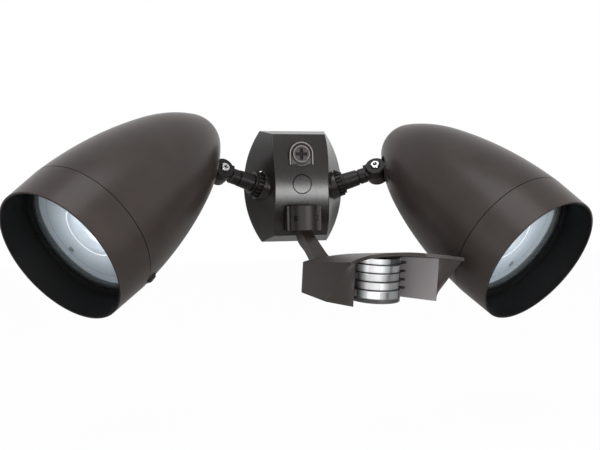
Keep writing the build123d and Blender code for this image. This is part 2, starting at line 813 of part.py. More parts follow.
with BuildPart() as socket_screws:
    head_depth = face_depth(socket_screw_height) - cover_wall - cap_gap * 2
    for side in (-1, 1):
        seat = Plane(origin=(side * socket_screw_spread, -head_depth, socket_screw_height), z_dir=(0, 1, 0))
        add(pan_screw(seat, socket_screw_head_radius, socket_screw_radius, socket_screw_radius,
                      socket_screw_length))
save(socket_screws, "socket_screws")


# ---------------------------------------------------------------- sensor head frame

sensor_forward = aim(1, sensor_yaw, 0)
sensor_across = Vector(cos(radians(sensor_yaw)), sin(radians(sensor_yaw)), 0)
head_up = Vector(0, 0, cos(radians(sensor_pitch))) + sensor_forward * sin(radians(sensor_pitch))
head_centre = swivel.origin + sensor_forward * sensor_reach - Vector(0, 0, sensor_drop)
head = Plane(origin=head_centre, x_dir=sensor_across, z_dir=head_up)
tilt_back = head_rear + tilt_behind
tilt_centre = head_centre + head.y_dir * tilt_back + head.z_dir * tilt_height
tilt_line = Plane(origin=tilt_centre, x_dir=head.y_dir, z_dir=head.x_dir)


# ---------------------------------------------------------------- sensor arm

arm_side = Plane(origin=swivel.origin, x_dir=sensor_forward, z_dir=sensor_across * -1)

with BuildPart() as sensor_arm:
    eye = ((tilt_centre - swivel.origin).dot(sensor_forward), tilt_centre.Z)
    with BuildSketch(arm_side.offset(-strap_width / 2)):
        with BuildLine():
            Spline(*strap_top, (eye[0], eye[1] + tilt_eye_radius), tangents=((1, -1), (1, 0)))
            ThreePointArc((eye[0], eye[1] + tilt_eye_radius), (eye[0] + tilt_eye_radius, eye[1]),
                          (eye[0], eye[1] - tilt_eye_radius))
            Spline((eye[0], eye[1] - tilt_eye_radius), *reversed(strap_bottom), tangents=((-1, 0), (0, 1)))
            Line(strap_bottom[0], strap_top[0])
        make_face()
    extrude(amount=strap_width)
    # plan of the strap: narrow at the socket, wide along its run, narrow again at the eye
    with BuildSketch(Plane(origin=swivel.origin, x_dir=sensor_forward, z_dir=(0, 0, 1))):
        with BuildLine():
            edge = [(-barrel_radius, strap_root_width / 2), (0, strap_root_width / 2),
                    (strap_taper_end, strap_width / 2), (eye[0] - 2 * strap_width, strap_width / 2),
                    (eye[0] - strap_width, strap_eye_half_width),
                    (eye[0] + strap_width, strap_eye_half_width)]
            Polyline(*edge, *[(along, -half) for along, half in reversed(edge)], close=True)
        make_face()
    extrude(amount=-2 * sensor_drop, mode=Mode.INTERSECT)
    collar_top = socket_bottom + counterbore_depth - body_gap
    add(rod(swivel, collar_radius, collar_top - collar_thickness, collar_top))
    add(rod(swivel, post_radius, collar_top, socket_top - socket_roof - body_gap))
    add(rod(tilt_line, tilt_screw_radius + running_gap, -strap_width, strap_width), mode=Mode.SUBTRACT)
save(sensor_arm, "sensor_arm")


# ---------------------------------------------------------------- sensor head

def below_top(depth):
    """Everything under the head's crowned, sloping top, lowered by depth."""
    radius = crown_radius(head_half_width, head_top_crown)
    slope = radians(head_top_slope)
    along = head.y_dir * -cos(slope) + head.z_dir * sin(slope)
    normal = head.y_dir * sin(slope) + head.z_dir * cos(slope)
    top = head_centre + head.z_dir * (head_top_side + head_top_crown) - normal * depth
    return rod(Plane(origin=top - normal * radius, z_dir=along), radius, -3 * head_tip, 3 * head_tip)


def above_bottom():
    """Everything over the head's slightly crowned bottom."""
    radius = crown_radius(head_half_width, head_bottom_crown)
    centre = head_centre + head.z_dir * (head_bottom_side - head_bottom_crown + radius)
    return rod(Plane(origin=centre, z_dir=head.y_dir), radius, -3 * head_tip, 3 * head_tip)


def prism(points, low, high):
    """Straight-sided block of the head between two heights, from its plan outline."""
    with BuildPart() as block:
        with BuildSketch(head.offset(low)):
            with BuildLine():
                Polyline(*points, close=True)
            make_face()
        extrude(amount=high - low)
    return block.part


def wing_outline(height):
    """Plan of the wings at a height: the tips lean forward towards the top."""
    inner_x, inner_y = head_inner_corner
    top = head_top_side + head_tip * sin(radians(head_top_slope))
    lean = (head_tip - head_bottom_tip) / (top - head_bottom_side)
    tip = head_bottom_tip + lean * (height - head_bottom_side)
    return [(-head_half_width, head_rear), (-head_half_width, -tip), (-inner_x, -inner_y),
            (inner_x, -inner_y), (head_half_width, -tip), (head_half_width, head_rear)]


below = 1.5 * head_bottom_side
above = 2 * head_top_side
inner_x, inner_y = head_inner_corner
pocket_rear = head_rear - head_side_wall
visor_bottom = below_top(visor_thickness)
case_screw_spots = [(side * case_screw_spread, back) for side in (-1, 1) for back in case_screw_places]

with BuildPart() as sensor_cover:
    with BuildSketch(head.offset(below)):
        with BuildLine():
            Polyline(*wing_outline(below), close=True)
        make_face()
    with BuildSketch(head.offset(above)):
        with BuildLine():
            Polyline(*wing_outline(above), close=True)
        make_face()
    loft(ruled=True)
    # pocket for the base, open at the front and below
    pocket = prism([(-inner_x, pocket_rear), (inner_x, pocket_rear), (inner_x, -2 * inner_y),
                    (-inner_x, -2 * inner_y)], 2 * below, 2 * above)
    add(pocket & visor_bottom, mode=Mode.SUBTRACT)
    # visor: concave front edge from tip to tip
    with BuildSketch(head):
        with BuildLine():
            ThreePointArc((-head_half_width, -head_tip), (0, -visor_middle), (head_half_width, -head_tip))
            Polyline((head_half_width, -head_tip), (head_half_width, head_rear),
                     (-head_half_width, head_rear), (-head_half_width, -head_tip))
        make_face()
    visor_blank = extrude(amount=above, mode=Mode.PRIVATE)
    add(visor_blank - visor_bottom)
    add(below_top(0), mode=Mode.INTERSECT)
    add(above_bottom(), mode=Mode.INTERSECT)
    rear_corners = sensor_cover.edges().filter_by(
        lambda edge: abs(abs(head.to_local_coords(edge.center()).X) - head_half_width) < cap_gap
        and abs(head.to_local_coords(edge.center()).Y - head_rear) < cap_gap)
    fillet(rear_corners, head_rear_radius)
    # clevis for the tilt screw
    for inner in (strap_eye_half_width + body_gap, -strap_eye_half_width - body_gap - tilt_ear_thickness):
        with BuildSketch(tilt_line.offset(inner)):
            Circle(tilt_eye_radius)
            with Locations((-tilt_behind / 2, 0)):
                Rectangle(tilt_behind, 2 * tilt_eye_radius)
        extrude(amount=tilt_ear_thickness)
    add(rod(tilt_line, tilt_screw_radius + screw_gap, -strap_width, strap_width), mode=Mode.SUBTRACT)
    with BuildSketch(head):
        with Locations(*case_screw_spots):
            Circle(case_screw_radius + screw_gap)
    extrude(amount=head_top_side, mode=Mode.SUBTRACT)
save(sensor_cover, "sensor_cover")

with BuildPart() as sensor_base:
    side = inner_x - case_gap
    add(prism([(-side, pocket_rear - case_gap), (side, pocket_rear - case_gap), (side, -inner_y),
               cheek_foot, (-cheek_foot[0], cheek_foot[1]), (-side, -inner_y)],
              below, above))
    add(rod(head, lens_radius + lens_seat_gap, 2 * below, 2 * above), mode=Mode.SUBTRACT)
    add(rod(head, lens_radius + lens_seat_gap, below, head_bottom_side + cap_gap))
    add(below_top(visor_thickness + case_gap), mode=Mode.INTERSECT)
    add(above_bottom(), mode=Mode.INTERSECT)
    # hollow sides and the slot for the circuit board
    hollow_in = lens_radius + 2 * head_side_wall
    hollow_out = case_screw_spread - 2 * head_side_wall
    for sign in (-1, 1):
        add(prism([(sign * hollow_in, hollow_front), (sign * hollow_out, hollow_front),
                   (sign * hollow_out, pocket_rear - 2 * head_side_wall),
                   (sign * hollow_in, pocket_rear - 2 * head_side_wall)],
                  -head_side_wall * 4, head_side_wall * 4), mode=Mode.SUBTRACT)
    slot_x, slot_z = board_half[0] + cap_gap, board_half[1] + cap_gap
    add(prism([(-slot_x, sensor_board_back - cap_gap), (slot_x, sensor_board_back - cap_gap),
               (slot_x, sensor_board_back + 2 * sensor_board_thickness),
               (-slot_x, sensor_board_back + 2 * sensor_board_thickness)], -slot_z, slot_z), mode=Mode.SUBTRACT)
    for sign in (-1, 1):
        dial_axis = Plane(origin=head.from_local_coords((sign * dial_spread, dial_back, 0)), x_dir=head.x_dir,
                          z_dir=head.z_dir)
        add(rod(dial_axis, dial_radius + body_gap, 2 * below, dial_floor), mode=Mode.SUBTRACT)
        add(rod(dial_axis, dial_pin_radius + running_gap, dial_floor, dial_floor + dial_pin_height + body_gap),
            mode=Mode.SUBTRACT)
    with BuildSketch(head.offset(below)):
        with Locations(*case_screw_spots):
            Circle(case_screw_radius + screw_gap)
    extrude(amount=above - below, mode=Mode.SUBTRACT)
    with BuildSketch(head.offset(below)):
        with Locations(*case_screw_spots):
            Circle(case_screw_head_radius + screw_gap)
    extrude(amount=head_bottom_side - below + case_screw_head_height, mode=Mode.SUBTRACT)
save(sensor_base, "sensor_base")

with BuildPart() as case_screws:
    for spot_x, spot_y in case_screw_spots:
        seat = Plane(origin=head.from_local_coords((spot_x, spot_y, head_bottom_side + case_screw_head_height)),
                     x_dir=head.x_dir, z_dir=head.z_dir * -1)
        add(pan_screw(seat, case_screw_head_radius, case_screw_head_height - body_gap, case_screw_radius,
                      head_top_side - head_bottom_side - 2 * case_screw_head_height))
save(case_screws, "case_screws")

lens_floor = head_bottom_side + cap_gap
with BuildPart() as sensor_lens:
    with BuildSketch(head.offset(lens_floor)):
        Circle(lens_radius)
        Circle(lens_radius - lens_wall, mode=Mode.SUBTRACT)
        with Locations((0, lens_back + lens_radius)):
            Rectangle(2 * lens_radius, 2 * lens_radius, mode=Mode.SUBTRACT)
    extrude(amount=above)
    add(below_top(visor_thickness + case_gap), mode=Mode.INTERSECT)
save(sensor_lens, "sensor_lens")

with BuildPart() as lens_guard:
    for bar in range(1, bar_count + 1):
        bar_height_now = lens_floor + bar * bar_pitch
        with BuildSketch(head.offset(bar_height_now - bar_height / 2)):
            Circle(lens_radius + bar_reach)
            Circle(lens_radius + screw_gap, mode=Mode.SUBTRACT)
            with Locations((0, lens_back + lens_radius)):
                Rectangle(3 * lens_radius, 2 * lens_radius, mode=Mode.SUBTRACT)
        extrude(amount=bar_height)
    add(sensor_base.part, mode=Mode.SUBTRACT)
save(lens_guard, "lens_guard")

with BuildPart() as sensor_board:
    half_x, half_z = board_half
    add(prism([(-half_x, sensor_board_back), (half_x, sensor_board_back),
               (half_x, sensor_board_back + sensor_board_thickness),
               (-half_x, sensor_board_back + sensor_board_thickness)], -half_z, half_z))
save(sensor_board, "sensor_board")

with BuildPart() as detector_board:
    half_x, half_z = detector_board_half
    add(prism([(-half_x, detector_board_back), (half_x, detector_board_back),
               (half_x, detector_board_back + sensor_board_thickness),
               (-half_x, detector_board_back + sensor_board_thickness)], lens_floor, lens_floor + 2 * half_z))
save(detector_board, "detector_board")

with BuildPart() as motion_detector:
    can = Plane(origin=head.from_local_coords((0, detector_board_back, lens_floor + detector_board_half[1])),
                x_dir=head.x_dir, z_dir=head.y_dir * -1)
    add(rod(can, detector_radius, 0, detector_height))
save(motion_detector, "motion_detector")

with BuildPart() as tilt_screw:
    ear_face = strap_eye_half_width + body_gap + tilt_ear_thickness
    add(pan_screw(tilt_line.offset(ear_face), tilt_head_radius, tilt_head_height, tilt_screw_radius,
                  2 * ear_face + tilt_head_height))
save(tilt_screw, "tilt_screw")

with BuildPart() as tilt_nut:
    with BuildSketch(tilt_line.offset(-ear_face)):
        RegularPolygon(tilt_head_radius, 6)
        Circle(tilt_screw_radius + screw_gap, mode=Mode.SUBTRACT)
    extrude(amount=-tilt_head_height)
save(tilt_nut, "tilt_nut")

for dial_name, sign in (("time_dial", -1), ("range_dial", 1)):
    dial_top = Plane(origin=head.from_local_coords((sign * dial_spread, dial_back, dial_floor - body_gap)),
                     x_dir=head.x_dir, z_dir=head.z_dir * -1)
    with BuildPart() as dial:
        add(rod(dial_top, dial_radius, 0, dial_height))
        add(rod(dial_top, dial_pin_radius, -dial_pin_height, 0))
        with BuildSketch(dial_top.offset(dial_height)):
            Rectangle(2 * dial_radius, dial_slot_width)
        extrude(amount=-dial_slot_depth, mode=Mode.SUBTRACT)
    save(dial, dial_name)
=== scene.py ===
import bmesh
import bpy
import json
from math import cos, pi, radians, sin
from mathutils import Matrix, Vector


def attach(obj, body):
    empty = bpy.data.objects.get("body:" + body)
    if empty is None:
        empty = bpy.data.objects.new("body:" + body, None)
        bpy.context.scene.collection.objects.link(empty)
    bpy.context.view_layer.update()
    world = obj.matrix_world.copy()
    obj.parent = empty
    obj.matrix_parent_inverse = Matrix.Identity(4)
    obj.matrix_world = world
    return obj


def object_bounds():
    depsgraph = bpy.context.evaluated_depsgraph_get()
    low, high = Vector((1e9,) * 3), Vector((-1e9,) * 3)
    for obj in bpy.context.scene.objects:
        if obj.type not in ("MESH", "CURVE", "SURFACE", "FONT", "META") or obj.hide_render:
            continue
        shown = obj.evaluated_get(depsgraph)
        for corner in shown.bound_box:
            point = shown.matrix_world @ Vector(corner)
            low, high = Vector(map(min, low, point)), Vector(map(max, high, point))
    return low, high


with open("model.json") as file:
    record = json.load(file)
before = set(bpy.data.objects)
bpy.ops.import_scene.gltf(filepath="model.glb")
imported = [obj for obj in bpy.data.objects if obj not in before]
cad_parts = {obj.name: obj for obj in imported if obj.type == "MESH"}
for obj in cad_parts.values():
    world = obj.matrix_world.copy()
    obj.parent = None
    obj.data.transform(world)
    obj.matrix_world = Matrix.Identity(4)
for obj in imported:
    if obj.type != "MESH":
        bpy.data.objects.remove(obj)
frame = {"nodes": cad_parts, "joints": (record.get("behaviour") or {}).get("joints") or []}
cad_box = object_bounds()


# ---------------------------------------------------------------- wall gasket
# A die-cut ring of closed-cell foam, pressed to the wall by the cover plate. It is black, dull and
# finely pitted, with pits drawn about twice as coarse as real ones, so that they show.

mm = 0.001
foam_cell_mm = 0.8
foam_pit_mm = 0.2


def linear(hex_colour):
    """sRGB hex colour as the linear colour that a shader takes."""
    parts = [int(hex_colour[place:place + 2], 16) / 255 for place in (1, 3, 5)]
    return [c / 12.92 if c <= 0.04045 else ((c + 0.055) / 1.055) ** 2.4 for c in parts] + [1.0]


def fill(tree, node, **sockets):
    """Set or link a node's sockets, each by its label, with _ for a space, or by in_ and its number."""
    for name, value in sockets.items():
        place = name[3:] if name.startswith("in_") else name.replace("_", " ")
        socket = node.inputs[int(place)] if place.isdigit() else node.inputs[place]
        if isinstance(value, bpy.types.NodeSocket):
            tree.links.new(value, socket)
        elif isinstance(value, str):
            socket.default_value = linear(value)
        else:
            socket.default_value = value


def put(tree, kind, settings=None, **sockets):
    """Add a node, set its properties and fill its sockets."""
    node = tree.nodes.new("ShaderNode" + kind)
    for name, value in (settings or {}).items():
        setattr(node, name, value)
    fill(tree, node, **sockets)
    return node


def nodes_of(material):
    """A material's tree, its shader and the piece's own coordinates."""
    tree = material.node_tree
    coordinates = next(node for node in tree.nodes if node.type == "TEX_COORD")
    return tree, tree.nodes["Principled BSDF"], coordinates.outputs["Object"]


def finish_of(name):
    """A new material, with what nodes_of gives for it."""
    material = bpy.data.materials.new(name)
    material.use_nodes = True
    put(material.node_tree, "TexCoord")
    return material, *nodes_of(material)


def wear(nodes, material):
    """Give CAD nodes their finish."""
    for name in nodes:
        for slot in frame["nodes"][name].material_slots:
            slot.material = material


foam, tree, shader, place = finish_of("closed_cell_foam")
cells = put(tree, "TexVoronoi", Vector=place, Scale=1 / (foam_cell_mm * mm))
shade = put(tree, "MapRange", Value=cells.outputs["Distance"], To_Min=0.6, To_Max=1.0)
tint = put(tree, "Mix", {"data_type": "RGBA"}, Factor=shade.outputs[0], in_6="#0c0c0c", in_7="#1d1d1c")
pits = put(tree, "Bump", Height=cells.outputs["Distance"], Strength=0.5, Distance=foam_pit_mm * mm)
fill(tree, shader, Base_Color=tint.outputs[2], Normal=pits.outputs[0], Roughness=0.9)
wear(["wall_gasket"], foam)


# ---------------------------------------------------------------- crossbar and plain screws
# A stamped steel strap that the outlet box's screws hold, and the light's plain screws and nuts.
# All are zinc plated: a pale, slightly blue grey, clouded, with faint rolling marks.

rolling_mark_mm = 0.5
rolling_depth_mm = 0.05
zinc_cloud_mm = 9.0

zinc, tree, shader, place = finish_of("zinc_plated_steel")
marks = put(tree, "TexNoise", Vector=place, Scale=1 / (rolling_mark_mm * mm), Detail=3.0)
cloud = put(tree, "TexNoise", Vector=place, Scale=1 / (zinc_cloud_mm * mm), Detail=2.0)
tint = put(tree, "Mix", {"data_type": "RGBA"}, Factor=cloud.outputs[0], in_6="#a9acaf", in_7="#c9cbcc")
dull = put(tree, "MapRange", Value=marks.outputs[0], To_Min=0.28, To_Max=0.48)
grain = put(tree, "Bump", Height=marks.outputs[0], Strength=0.15, Distance=rolling_depth_mm * mm)
fill(tree, shader, Base_Color=tint.outputs[2], Roughness=dull.outputs[0], Normal=grain.outputs[0],
     Metallic=1.0)
wear(["crossbar", "centre_screw", "socket_screws", "case_screws", "tilt_screw", "tilt_nut",
      "left_pivot_nut", "right_pivot_nut", "left_plate_screws", "right_plate_screws"], zinc)

# The ground screw's zinc is dyed green, so that it is told from the others.
ground_green, tree, shader, place = finish_of("green_dyed_zinc")
marks = put(tree, "TexNoise", Vector=place, Scale=1 / (rolling_mark_mm * mm), Detail=3.0)
tint = put(tree, "Mix", {"data_type": "RGBA"}, Factor=marks.outputs[0], in_6="#1f5a2b", in_7="#3c7d43")
fill(tree, shader, Base_Color=tint.outputs[2], Metallic=1.0, Roughness=0.35)
wear(["ground_screw"], ground_green)


# ---------------------------------------------------------------- cover plate
# A die-cast aluminium cover with its closing plug, centre cap and sensor socket, sprayed with a
# glossy dark bronze enamel: nearly black, a little brown, with a soft orange-peel skin. It is
# painted paler along the edges as a highlight, and darker with less shine where pieces meet, as shade.

peel_mm = 1.6
peel_depth_mm = 0.06
enamel_cloud_mm = 35.0
edge_roll_mm = 0.3
# How far the painted shade of seams and corners reaches.
seam_reach_mm = 2.5
# The metal flake is drawn about eight times as coarse as a real one, so that it shows at all.
flake_mm = 0.4


def bronze_enamel(name, deep, pale, roughness, peel, shine, edge_highlight="#3a3432"):
    """Sprayed gloss enamel with a brown cast, fine flake, orange peel, painted edge highlights and painted
    seam shade.
    """
    material, tree, shader, place = finish_of(name)
    rolled = put(tree, "Bevel", {"samples": 4}, Radius=edge_roll_mm * mm)
    # Near other surfaces the colour is darkened and the shine dimmed by ambient occlusion: painted shade.
    corner = put(tree, "AmbientOcclusion", {"samples": 6, "only_local": False},
                 Distance=seam_reach_mm * mm)
    open_air = put(tree, "MapRange", Value=corner.outputs["AO"], From_Min=0.4, From_Max=0.9, To_Min=0.15,
                   To_Max=1.0)
    flat = put(tree, "NewGeometry").outputs["True Normal"]
    lean = put(tree, "VectorMath", {"operation": "DOT_PRODUCT"}, in_0=rolled.outputs[0], in_1=flat)
    edge = put(tree, "MapRange", Value=lean.outputs["Value"], From_Min=0.995, From_Max=0.9)
    flake = put(tree, "TexVoronoi", Vector=place, Scale=1 / (flake_mm * mm))
    cloud = put(tree, "TexNoise", Vector=place, Scale=1 / (enamel_cloud_mm * mm), Detail=3.0)
    ripple = put(tree, "TexNoise", Vector=place, Scale=1 / (peel_mm * mm), Detail=1.0)
    speck = put(tree, "MapRange", Value=flake.outputs["Color"], To_Min=-0.12, To_Max=0.12)
    blend = put(tree, "Math", {"operation": "ADD"}, in_0=cloud.outputs[0], in_1=speck.outputs[0])
    tint = put(tree, "Mix", {"data_type": "RGBA"}, Factor=blend.outputs[0], in_6=deep, in_7=pale)
    gloss = put(tree, "MapRange", Value=cloud.outputs[0], To_Min=roughness - 0.04, To_Max=roughness + 0.05)
    skin = put(tree, "Bump", Height=ripple.outputs[0], Strength=peel, Distance=peel_depth_mm * mm,
               Normal=rolled.outputs[0])
    # The edges take a pale colour: a painted highlight.
    edge_lit = put(tree, "Mix", {"data_type": "RGBA"}, Factor=edge.outputs[0], in_6=tint.outputs[2], in_7=edge_highlight)
    corner_shaded = put(tree, "Mix", {"data_type": "RGBA", "blend_type": "MULTIPLY"}, Factor=1.0,
                 in_6=edge_lit.outputs[2], in_7=open_air.outputs[0])
    bright = put(tree, "Math", {"operation": "MULTIPLY"}, in_0=open_air.outputs[0], in_1=shine)
    fill(tree, shader, Base_Color=corner_shaded.outputs[2], Roughness=gloss.outputs[0], Normal=skin.outputs[0],
         Specular_IOR_Level=bright.outputs[0])
    return material


# A pale line is painted on the horseshoe lip round the hub as a highlight: an arch, and a leg below each of
# its ends.
hub_above_mm = 36.0
lip_radius_mm = 13.8
lip_line_mm = 1.3
lip_leg_mm = 12.5
# The seam round the cap is painted near black with no shine, as shade in the gap, and is drawn
# wider than it is, so that it shows.
cap_seam_radius_mm = 11.2
cap_seam_width_mm = 1.1
face_starts_mm = -40.0

plate_enamel = bronze_enamel("bronze_enamel_on_cast_aluminium", deep="#171413", pale="#221e1c",
                             roughness=0.22, peel=0.2, shine=0.36, edge_highlight="#4a4543")
tree, shader, place = nodes_of(plate_enamel)
enamel = shader.inputs["Base Color"].links[0].from_socket
gleam = shader.inputs["Specular IOR Level"].links[0].from_socket
parts = put(tree, "SeparateXYZ", Vector=place)
in_front = put(tree, "Math", {"operation": "LESS_THAN"}, in_0=parts.outputs["Y"], in_1=face_starts_mm * mm)
above = put(tree, "Math", {"operation": "SUBTRACT"}, in_0=parts.outputs["Z"], in_1=hub_above_mm * mm)
arch = put(tree, "Math", {"operation": "MAXIMUM"}, in_0=above.outputs[0], in_1=0.0)
from_hub = put(tree, "CombineXYZ", X=parts.outputs["X"], Y=arch.outputs[0])
reach = put(tree, "VectorMath", {"operation": "LENGTH"}, in_0=from_hub.outputs[0])
on_line = put(tree, "Math", {"operation": "COMPARE"}, in_0=reach.outputs["Value"], in_1=lip_radius_mm * mm,
              in_2=lip_line_mm / 2 * mm)
on_leg = put(tree, "Math", {"operation": "GREATER_THAN"}, in_0=above.outputs[0], in_1=-lip_leg_mm * mm)
line = put(tree, "Math", {"operation": "MULTIPLY"}, in_0=on_line.outputs[0], in_1=on_leg.outputs[0])
# The lip's pale line is a painted highlight, on the front face only.
lip_highlight = put(tree, "Math", {"operation": "MULTIPLY"}, in_0=line.outputs[0], in_1=in_front.outputs[0])
lip_lit = put(tree, "Mix", {"data_type": "RGBA"}, Factor=lip_highlight.outputs[0], in_6=enamel, in_7="#7d7774")
from_cap = put(tree, "CombineXYZ", X=parts.outputs["X"], Y=parts.outputs["Z"])
reach = put(tree, "VectorMath", {"operation": "LENGTH"}, in_0=from_cap.outputs[0])
on_seam = put(tree, "Math", {"operation": "COMPARE"}, in_0=reach.outputs["Value"],
              in_1=cap_seam_radius_mm * mm, in_2=cap_seam_width_mm / 2 * mm)
# The seam is painted near black and its shine taken away: painted shade.
gap_shade = put(tree, "Math", {"operation": "MULTIPLY"}, in_0=on_seam.outputs[0], in_1=in_front.outputs[0])
clear = put(tree, "Math", {"operation": "SUBTRACT"}, in_0=1.0, in_1=gap_shade.outputs[0])
gap_shaded = put(tree, "Mix", {"data_type": "RGBA"}, Factor=gap_shade.outputs[0], in_6=lip_lit.outputs[2],
             in_7="#050505")
dimmed = put(tree, "Math", {"operation": "MULTIPLY"}, in_0=gleam, in_1=clear.outputs[0])
fill(tree, shader, Base_Color=gap_shaded.outputs[2], Specular_IOR_Level=dimmed.outputs[0])
wear(["cover_plate", "centre_cap"], plate_enamel)

# The plug's enamel is worn pale on its rim by its driver. Its recess is darker and less shiny, partly
# grease and partly painted shade, and its cross is painted black as shade.
plug_recess_mm = 0.5
plug_cross_mm = 1.6
plug_shine = 0.4
recess_shine = 0.1

plug_enamel = bronze_enamel("rubbed_bronze_enamel_with_painted_shade_on_plug", deep="#171413", pale="#221e1c", roughness=0.3,
                            peel=0.2, shine=plug_shine, edge_highlight="#857f7c")
tree, shader, place = nodes_of(plug_enamel)
plug_front = min(vertex.co.y for vertex in frame["nodes"]["closure_plug"].data.vertices)
depth = put(tree, "SeparateXYZ", Vector=place)
sunk = put(tree, "Math", {"operation": "GREATER_THAN"}, in_0=depth.outputs["Y"],
           in_1=plug_front + plug_recess_mm * mm)
deepest = put(tree, "Math", {"operation": "GREATER_THAN"}, in_0=depth.outputs["Y"],
              in_1=plug_front + plug_cross_mm * mm)
# The recess is darker: partly grease, partly painted shade.
face = put(tree, "Mix", {"data_type": "RGBA"}, Factor=sunk.outputs[0], in_6="#6f6966", in_7="#4b4644")
# The cross is painted black: painted shade.
slot = put(tree, "Mix", {"data_type": "RGBA"}, Factor=deepest.outputs[0], in_6=face.outputs[2],
           in_7="#060606")
# Less shine in the recess is part of its painted shade.
shine = put(tree, "Mix", Factor=sunk.outputs[0], in_2=plug_shine, in_3=recess_shine)
fill(tree, shader, Base_Color=slot.outputs[2], Specular_IOR_Level=shine.outputs[0])
wear(["closure_plug"], plug_enamel)

# The socket under the face is sprayed thinner and duller, and its corners are painted paler as a highlight.
socket_enamel = bronze_enamel("dull_bronze_enamel_on_cast_aluminium", deep="#1b1817", pale="#282422",
                              roughness=0.45, peel=0.3, shine=0.3, edge_highlight="#6f6a67")
wear(["sensor_socket"], socket_enamel)


# ---------------------------------------------------------------- lock nuts and lamp arms
# Notched rings and threaded swivel arms of cast zinc, screwed into the side hubs. They wear the same
# bronze but darker and duller: the spray is thin on their small faces.

arm_enamel = bronze_enamel("thin_bronze_enamel_on_cast_zinc", deep="#110f0f", pale="#1d1a19",
                           roughness=0.36, peel=0.4, shine=0.2)
wear(["left_lock_nut", "left_arm", "right_lock_nut", "right_arm"], arm_enamel)


# ---------------------------------------------------------------- pivot, hood and clamp screws
# The pan-head screws through the knuckles are chromium plated steel, bright but a little hazy, with
# the driver's cross recess painted dark as shade. The screws of hoods and socket are blackened steel.

cross_half_length_mm = 2.9
cross_half_width_mm = 0.75
plating_haze_mm = 1.2
# One bar of the cross lies square to this direction.
cross_towards = Vector((0.35, 0.0, 1.0))
joints = {joint["name"]: joint for joint in frame["joints"]}

for side in ("left", "right"):
    chrome, tree, shader, place = finish_of(side + "_bright_chromium_plate")
    pivot = joints[side + "_lamp_tilt"]
    shank = Vector(pivot["axis"]).normalized()
    first = shank.cross(cross_towards).normalized()
    second = shank.cross(first)
    offset = put(tree, "VectorMath", {"operation": "SUBTRACT"}, in_0=place, in_1=Vector(pivot["pos_m"]))
    bars = []
    for long_way, short_way in ((first, second), (second, first)):
        span = put(tree, "VectorMath", {"operation": "DOT_PRODUCT"}, in_0=offset.outputs[0], in_1=long_way)
        width = put(tree, "VectorMath", {"operation": "DOT_PRODUCT"}, in_0=offset.outputs[0], in_1=short_way)
        in_span = put(tree, "Math", {"operation": "COMPARE"}, in_0=span.outputs["Value"], in_1=0.0,
                      in_2=cross_half_length_mm * mm)
        in_width = put(tree, "Math", {"operation": "COMPARE"}, in_0=width.outputs["Value"], in_1=0.0,
                       in_2=cross_half_width_mm * mm)
        bars.append(put(tree, "Math", {"operation": "MULTIPLY"}, in_0=in_span.outputs[0],
                        in_1=in_width.outputs[0]).outputs[0])
    cross = put(tree, "Math", {"operation": "MAXIMUM"}, in_0=bars[0], in_1=bars[1])
    haze = put(tree, "TexNoise", Vector=place, Scale=1 / (plating_haze_mm * mm), Detail=2.0)
    dull = put(tree, "MapRange", Value=haze.outputs[0], To_Min=0.16, To_Max=0.3)
    plating = put(tree, "Mix", {"data_type": "RGBA"}, Factor=haze.outputs[0], in_6="#b0b1b3",
                  in_7="#cfd0d0")
    # The cross is painted near black: painted shade in the driver's recess.
    tint = put(tree, "Mix", {"data_type": "RGBA"}, Factor=cross.outputs[0], in_6=plating.outputs[2],
               in_7="#101010")
    fill(tree, shader, Base_Color=tint.outputs[2], Roughness=dull.outputs[0], Metallic=1.0)
    wear([side + "_pivot_screw"], chrome)

black_screw = bronze_enamel("black_oxide_steel", deep="#121111", pale="#1f1d1c", roughness=0.35, peel=0.2,
                            shine=0.3)
wear(["left_hood_screw", "right_hood_screw", "clamp_screws"], black_screw)


# ---------------------------------------------------------------- lamp housings and hoods
# Spun and cast aluminium shells in gloss bronze enamel, browner than the plate's. The hood is flat
# black inside, so that stray light is lost, and its rim keeps the enamel.

# Nearer the lamp's axis than this, a point of the hood is on its black inside.
hood_inside_mm = 76.3
inside_roughness = 0.6
inside_shine = 0.15
lamp_spray = {"deep": "#302a28", "pale": "#3f3835", "roughness": 0.3, "peel": 0.25, "shine": 0.18}

lamp_enamel = bronze_enamel("bronze_enamel_on_spun_aluminium", **lamp_spray)
wear(["left_lamp_housing", "right_lamp_housing"], lamp_enamel)


def middle(node):
    """Mean place of a CAD node's vertices."""
    corners = [vertex.co for vertex in frame["nodes"][node].data.vertices]
    return sum(corners, Vector()) / len(corners)


def from_axis(tree, place, side):
    """Distance of each point from the axis of a lamp, in metres."""
    on_axis = middle(side + "_led_board")
    axis = (middle(side + "_glass") - on_axis).normalized()
    offset = put(tree, "VectorMath", {"operation": "SUBTRACT"}, in_0=place, in_1=on_axis)
    along = put(tree, "VectorMath", {"operation": "DOT_PRODUCT"}, in_0=offset.outputs[0], in_1=axis)
    foot = put(tree, "VectorMath", {"operation": "SCALE"}, in_0=axis, Scale=along.outputs["Value"])
    radial = put(tree, "VectorMath", {"operation": "SUBTRACT"}, in_0=offset.outputs[0], in_1=foot.outputs[0])
    return put(tree, "VectorMath", {"operation": "LENGTH"}, in_0=radial.outputs[0]).outputs["Value"]


